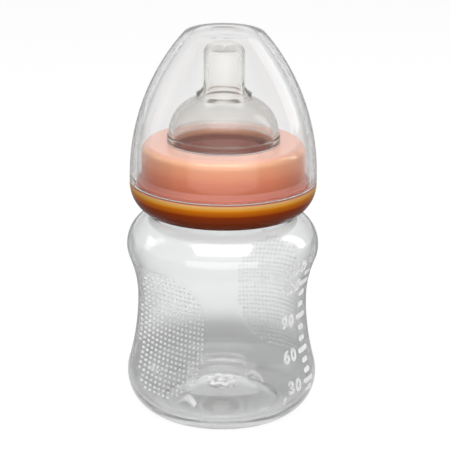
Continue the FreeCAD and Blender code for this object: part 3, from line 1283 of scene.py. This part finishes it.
@dataclass
class Teat(Piece):
    """The soft teat: clamped flange, waist in the collar, bead over its edge, dome and tip."""

    flange_r: float = 0.0249
    flange_low: float = 0.0916
    flange_top: float = 0.0936
    flange_round: float = 0.0004
    waist_r: float = 0.0182
    bead_r: float = 0.0193
    bead_low: float = 0.0958
    bead_high: float = 0.0026
    bead_round: float = 0.0005
    wall: float = 0.0017
    dome_round: float = 0.0130
    dome_fillet: float = 0.0060
    tip_r: float = 0.0069
    tip_ledge: float = 0.0025
    tip_ring_high: float = 0.0015
    tip_fillet: float = 0.0042
    tip_round: float = 0.0032
    tip_wall: float = 0.0024
    top: float = 0.1295
    hole_r: float = 0.0004
    step: float = 0.0005
    columns: int = 160

    def build(self) -> bpy.types.Object:
        """Makes the teat as one closed skin.

        Returns:
            The new object.
        """
        bead_top = self.bead_low + self.bead_high
        dome_r = self.bead_r - self.bead_round
        dome = (dome_r - self.dome_round, bead_top)
        across = self.tip_r + self.dome_fillet - dome[0]
        rise = math.sqrt((self.dome_round + self.dome_fillet) ** 2 - across**2)
        fillet = (self.tip_r + self.dome_fillet, bead_top + rise)
        meet = bearing(dome, fillet)
        ring_r = self.tip_r + self.tip_ledge
        ring_from = math.acos((ring_r - dome[0]) / self.dome_round)
        ring_top = bead_top + self.dome_round * math.sin(ring_from) + self.tip_ring_high
        reach = math.sqrt(self.tip_fillet**2 - (self.tip_fillet - self.tip_ledge) ** 2)
        flare = (self.tip_r + self.tip_fillet, ring_top + reach)
        bore = self.tip_r - self.wall
        end_z = self.top - self.tip_wall
        inner = self.tip_round - self.wall
        edge = self.flange_round
        outline: Outline = [
            (dome_r - self.wall, self.flange_low),
            (self.flange_r, self.flange_low),
            Arc((self.flange_r - edge, self.flange_top - edge), edge, 0.0, RIGHT),
            (self.waist_r, self.flange_top),
            (self.waist_r, self.bead_low),
            (self.bead_r, self.bead_low),
            Arc((dome_r, bead_top - self.bead_round), self.bead_round, 0.0, RIGHT),
            Arc(dome, self.dome_round, 0.0, ring_from),
            Arc(flare, self.tip_fillet, bearing(flare, (ring_r, ring_top)) + FULL, math.pi),
            Arc((self.tip_r - self.tip_round, self.top - self.tip_round), self.tip_round, 0.0, RIGHT),
            (self.hole_r, self.top),
            (self.hole_r, end_z),
            Arc((bore - inner, end_z - inner), inner, RIGHT, 0.0),
            Arc(fillet, self.dome_fillet + self.wall, math.pi, meet + math.pi),
            Arc(dome, self.dome_round - self.wall, meet, 0.0),
        ]
        lathe = Lathe()
        lathe.sweep(trace(outline, self.step), even_angles(self.columns))
        return lathe.make(self.name, self.crisp, closed=True)


@dataclass
class Collar(Piece):
    """The screw collar: bowl-shaped flange, ledge, upright ring, open crown and inner thread."""

    bore: float = 0.0259
    bottom: float = 0.0722
    lip_r: float = 0.0273
    flange_r: float = 0.0320
    ledge_z: float = 0.0820
    ledge_round: float = 0.0006
    spigot_r: float = 0.0290
    spigot_high: float = 0.0003
    ring_r: float = 0.0280
    ring_fillet: float = 0.0007
    crown_round: float = 0.0025
    top: float = 0.0956
    seat: float = 0.0936
    opening_r: float = 0.0185
    opening_round: float = 0.0008
    step: float = 0.0005
    columns: int = 192
    thread: Thread = Thread(start_z=0.0800, turns=1.7)

    def grooved(self, angles: np.ndarray, heights: np.ndarray) -> np.ndarray:
        """How far the thread stands inwards from the bore."""
        return -self.thread.relief(angles, heights)

    def build(self) -> bpy.types.Object:
        """Makes the collar as one closed skin.

        Returns:
            The new object.
        """
        ledge = self.ledge_z - self.ledge_round
        drop = ledge - self.bottom
        out = self.flange_r - self.lip_r
        bowl_r = (out**2 + drop**2) / (2 * out)
        bowl = (self.flange_r - bowl_r, ledge)
        foot = self.ledge_z + self.spigot_high
        fillet = self.ring_fillet
        crown = self.top - self.crown_round
        lip = self.opening_round
        outline: Outline = [
            Arc(bowl, bowl_r, bearing(bowl, (self.lip_r, self.bottom)), 0.0),
            Arc((self.flange_r - self.ledge_round, ledge), self.ledge_round, 0.0, RIGHT),
            (self.spigot_r, self.ledge_z),
            (self.spigot_r, foot),
            Arc((self.ring_r + fillet, foot + fillet), fillet, -RIGHT, -math.pi),
            Arc((self.ring_r - self.crown_round, crown), self.crown_round, 0.0, RIGHT),
            Arc((self.opening_r + lip, self.top - lip), lip, RIGHT, math.pi),
            (self.opening_r, self.seat),
            (self.bore, self.seat),
            (self.bore, self.bottom),
        ]
        lathe = Lathe()
        angles = even_angles(self.columns)
        for place in trace(outline, self.step):
            in_bore = abs(place[0] - self.bore) < NEAR and self.bottom < place[1] < self.seat
            lathe.ring(place, angles, self.grooved if in_bore else None)
        return lathe.make(self.name, self.crisp, closed=True)


@dataclass
class Cap(Piece):
    """The domed cap: straight rim, long curved side and a flat top with a shallow dish."""

    rim_z: float = 0.0820
    rim_r: float = 0.0320
    wall: float = 0.0024
    lid: float = 0.0011
    straight: float = 0.0020
    curve: float = 0.0755
    top: float = 0.1340
    top_round: float = 0.0030
    inner_round: float = 0.0014
    dish_r: float = 0.0076
    dish_depth: float = 0.00025
    dish_slope: float = 0.0030
    rim_round: float = 0.0004
    rim_band: float = 0.0018
    seat_gap: float = 0.0001
    step: float = 0.0007
    columns: int = 180

    @staticmethod
    def corner(side: Place, reach: float, height: float) -> Place:
        """The centre of a rounding that meets the long curved side smoothly.

        Args:
            side: The centre of the side's curve.
            reach: How far from it the rounding's centre lies.
            height: The height of the rounding's centre.

        Returns:
            The rounding's centre.
        """
        return (side[0] + math.sqrt(reach**2 - (height - side[1]) ** 2), height)

    def build(self) -> bpy.types.Object:
        """Makes the cap as one closed skin.

        Returns:
            The new object.
        """
        side = (self.rim_r - self.curve, self.rim_z + self.straight)
        outer = self.corner(side, self.curve - self.top_round, self.top - self.top_round)
        under = self.top - self.lid
        inner = self.corner(side, self.curve - self.wall - self.inner_round, under - self.inner_round)
        edge = self.rim_round
        low = self.rim_z + self.seat_gap
        bore = self.rim_r - self.wall
        outline: Outline = [
            (0.0, under),
            Arc(inner, self.inner_round, RIGHT, bearing(side, inner)),
            Arc(side, self.curve - self.wall, bearing(side, inner), 0.0),
            Arc((bore + edge, low + edge), edge, -math.pi, -RIGHT),
            (self.rim_r - self.rim_band, low),
            Arc((self.rim_r - edge, low + edge), edge, -RIGHT, 0.0),
            Arc(side, self.curve, 0.0, bearing(side, outer)),
            Arc(outer, self.top_round, bearing(side, outer), RIGHT),
            (self.dish_r, self.top),
            (self.dish_r - self.dish_slope, self.top - self.dish_depth),
            (0.0, self.top - self.dish_depth),
        ]
        lathe = Lathe()
        lathe.sweep(trace(outline, self.step), even_angles(self.columns))
        made = lathe.make(self.name, self.crisp)
        made.data.materials.append(self.finish.make())
        made.data.materials.append(self.relief_finish.make())
        # The band under the rim gets the second, opaque white finish: a painted highlight for the light that
        # the cap's wall carries down to its edge.
        for face in made.data.polygons:
            outward = face.center.xy.length > self.rim_r - self.rim_band
            face.material_index = int(outward and face.center.z < low + self.rim_round)
        return made


@dataclass(frozen=True)
class Softbox:
    """A flat studio lamp, placed by its direction from the bottle."""

    name: str
    azimuth: float
    elevation: float
    distance: float
    width: float
    height: float
    watts: float
    aim_z: float = 0.065

    def make(self) -> bpy.types.Object:
        """Makes the lamp, aimed at the bottle's axis.

        Returns:
            The lamp's object.
        """
        lamp = bpy.data.lights.new(self.name, "AREA")
        lamp.shape = "RECTANGLE"
        lamp.size = self.width
        lamp.size_y = self.height
        lamp.energy = self.watts
        made = bpy.data.objects.new(self.name, lamp)
        flat = self.distance * math.cos(self.elevation)
        up = self.distance * math.sin(self.elevation)
        aim = Vector((0.0, 0.0, self.aim_z))
        made.location = aim + Vector((flat * math.sin(self.azimuth), -flat * math.cos(self.azimuth), up))
        made.rotation_euler = (aim - made.location).to_track_quat("-Z", "Y").to_euler()
        made.visible_camera = False
        bpy.context.scene.collection.objects.link(made)
        return made


@dataclass
class Studio:
    """The camera, the pale floor, the white surroundings and the lamps."""

    view_azimuth: float = math.radians(-50.0)
    camera_away: float = 0.700
    camera_up: float = 0.2845
    pitch: float = math.radians(17.36)
    roll: float = math.radians(0.50)
    focal: float = 170.3
    shift: float = 0.00487
    near_clip: float = 0.01
    floor_half: float = 4.0
    floor_tone: float = 0.20
    floor_roughness: float = 0.7
    floor_glow: float = 0.90
    shade_behind: float = 0.036
    shade_inner: float = 0.038
    shade_outer: float = 0.070
    shade_level: float = 0.36
    mirror_level: float = 0.32
    mirror_near: float = 0.045
    mirror_far: float = 0.100
    ambient: float = 0.12
    bounces: int = 32

    def camera(self) -> None:
        """Stands the camera where the photograph was taken from."""
        lens = bpy.data.cameras.new("photo_camera")
        lens.lens = self.focal
        lens.shift_x = self.shift
        lens.clip_start = self.near_clip
        made = bpy.data.objects.new("photo_camera", lens)
        towards = Vector((
            -math.sin(self.view_azimuth) * math.cos(self.pitch),
            math.cos(self.view_azimuth) * math.cos(self.pitch),
            -math.sin(self.pitch),
        ))
        made.location = (
            self.camera_away * math.sin(self.view_azimuth),
            -self.camera_away * math.cos(self.view_azimuth),
            self.camera_up,
        )
        turn = towards.to_track_quat("-Z", "Y") @ Quaternion((0.0, 0.0, 1.0), self.roll)
        made.rotation_euler = turn.to_euler()
        bpy.context.scene.collection.objects.link(made)
        bpy.context.scene.camera = made

    @staticmethod
    def seen_directly(tree: Tree) -> Socket:
        """A value that is 1 for what the eye sees: straight on, in a reflection or through something clear.

        It is 0 for light that comes off a dull surface, so the white surroundings never light the bottle.

        Args:
            tree: The nodes to add it to.

        Returns:
            The socket with the value.
        """
        path = tree.nodes.new("ShaderNodeLightPath")
        total = path.outputs["Is Camera Ray"]
        for label in ("Is Glossy Ray", "Is Transmission Ray"):
            total = maths(tree, "MAXIMUM", total, path.outputs[label])
        first = maths(tree, "LESS_THAN", path.outputs["Diffuse Depth"], UNDER_ONE)
        return maths(tree, "MULTIPLY", total, first)

    def surroundings(self) -> None:
        """Makes the world: white where it is seen, and an even light elsewhere."""
        world = bpy.data.worlds.new("studio")
        world.use_nodes = True
        tree = world.node_tree
        back = tree.nodes["Background"]
        back.inputs["Color"].default_value = (1.0, 1.0, 1.0, 1.0)
        level = map_range(tree, self.seen_directly(tree), (0.0, 1.0), (self.ambient, 1.0))
        tree.links.new(level, back.inputs["Strength"])
        bpy.context.scene.world = world

    def open_ground(self, tree: Tree) -> Socket:
        """The floor's brightness: full in the open; a painted shadow where it is seen through the bottle's
        foot; and in reflections full next to the bottle and dimmer further out, a painted reflection.

        Args:
            tree: The floor's nodes.

        Returns:
            The socket with the strength.
        """
        place = tree.nodes.new("ShaderNodeNewGeometry").outputs["Position"]
        path = tree.nodes.new("ShaderNodeLightPath")
        behind, turn, glow = self.shade_behind, self.view_azimuth, self.floor_glow
        away = tree.nodes.new("ShaderNodeVectorMath")
        away.operation = "DISTANCE"
        away.inputs[1].default_value = (-behind * math.sin(turn), behind * math.cos(turn), 0.0)
        tree.links.new(place, away.inputs[0])
        # Painted shadow: a dimmer disc behind the bottle, seen only through it.
        reach = (self.shade_inner, self.shade_outer)
        shade = map_range(tree, away.outputs["Value"], reach, (glow * self.shade_level, glow), smooth=True)
        middle = tree.nodes.new("ShaderNodeVectorMath")
        middle.operation = "LENGTH"
        tree.links.new(place, middle.inputs[0])
        # Painted reflection: in reflections the floor keeps its full glow next to the bottle and dims
        # further out.
        reach = (self.mirror_near, self.mirror_far)
        fall = map_range(tree, middle.outputs["Value"], reach, (glow, glow * self.mirror_level))
        mirrored = tree.nodes.new("ShaderNodeMix")
        mirrored.inputs["A"].default_value = glow
        tree.links.new(fall, mirrored.inputs["B"])
        tree.links.new(path.outputs["Is Glossy Ray"], mirrored.inputs["Factor"])
        choose = tree.nodes.new("ShaderNodeMix")
        tree.links.new(path.outputs["Is Transmission Ray"], choose.inputs["Factor"])
        tree.links.new(mirrored.outputs["Result"], choose.inputs["A"])
        tree.links.new(shade, choose.inputs["B"])
        return choose.outputs["Result"]

    def floor(self) -> None:
        """Lays the pale floor that the bottle stands on."""
        half = self.floor_half
        mesh = bpy.data.meshes.new("pale_floor")
        corners = [(-half, -half, 0), (half, -half, 0), (half, half, 0), (-half, half, 0)]
        mesh.from_pydata(corners, [], [(0, 1, 2, 3)])
        made = bpy.data.objects.new("pale_floor", mesh)
        bpy.context.scene.collection.objects.link(made)
        material, shader, _ = blank_material("pale_floor")
        tree = material.node_tree
        shader.inputs["Base Color"].default_value = (self.floor_tone, self.floor_tone, self.floor_tone, 1.0)
        shader.inputs["Roughness"].default_value = self.floor_roughness
        shader.inputs["Specular IOR Level"].default_value = 0.0
        shader.inputs["Emission Color"].default_value = (1.0, 1.0, 1.0, 1.0)
        glow = maths(tree, "MULTIPLY", self.seen_directly(tree), self.open_ground(tree))
        tree.links.new(glow, shader.inputs["Emission Strength"])
        mesh.materials.append(material)

    def lamps(self) -> None:
        """Hangs the softboxes: two overhead, one on each side and a low card in front."""
        front = self.view_azimuth
        left, right = front - math.radians(102), front + math.radians(112)
        low, side, high, above = (math.radians(degrees) for degrees in (1.6, 24, 56, 88))
        for box in (
            Softbox("top_softbox", front, above, distance=1.40, width=1.80, height=1.80, watts=5.0),
            Softbox("front_softbox", front, high, distance=0.75, width=0.80, height=0.55, watts=4.2),
            Softbox("front_card", front, low, distance=0.36, width=0.66, height=0.155, watts=0.34),
            Softbox("left_strip", left, side, distance=0.70, width=0.16, height=0.50, watts=0.26),
            Softbox("right_strip", right, side, distance=0.70, width=0.14, height=0.50, watts=0.80),
        ):
            box.make()

    def build(self) -> None:
        """Sets up the whole studio."""
        scene = bpy.context.scene
        scene.view_settings.view_transform = "Standard"
        scene.cycles.max_bounces = self.bounces
        scene.cycles.transmission_bounces = self.bounces
        scene.cycles.transparent_max_bounces = self.bounces
        self.camera()
        self.surroundings()
        self.floor()
        self.lamps()


def main() -> None:
    """Builds the studio and the four mouldings, in order."""
    logging.basicConfig(level=logging.INFO)
    Studio().build()
    for piece in (
        Bottle(Node.BOTTLE, Body.BOTTLE, Slot.BOTTLE, BOTTLE_FINISH, "waisted_bottle", FROST_FINISH),
        Teat(Node.TEAT, Body.TEAT, Slot.TEAT, TEAT_FINISH, "soft_teat"),
        Collar(Node.COLLAR, Body.COLLAR, Slot.COLLAR, COLLAR_FINISH, "collar_moulding"),
        Cap(Node.CAP, Body.CAP, Slot.CAP, CAP_FINISH, "cap_moulding", PAINTED_GLINT_FINISH),
    ):
        piece.dress()


if __name__ == "__main__":
    main()
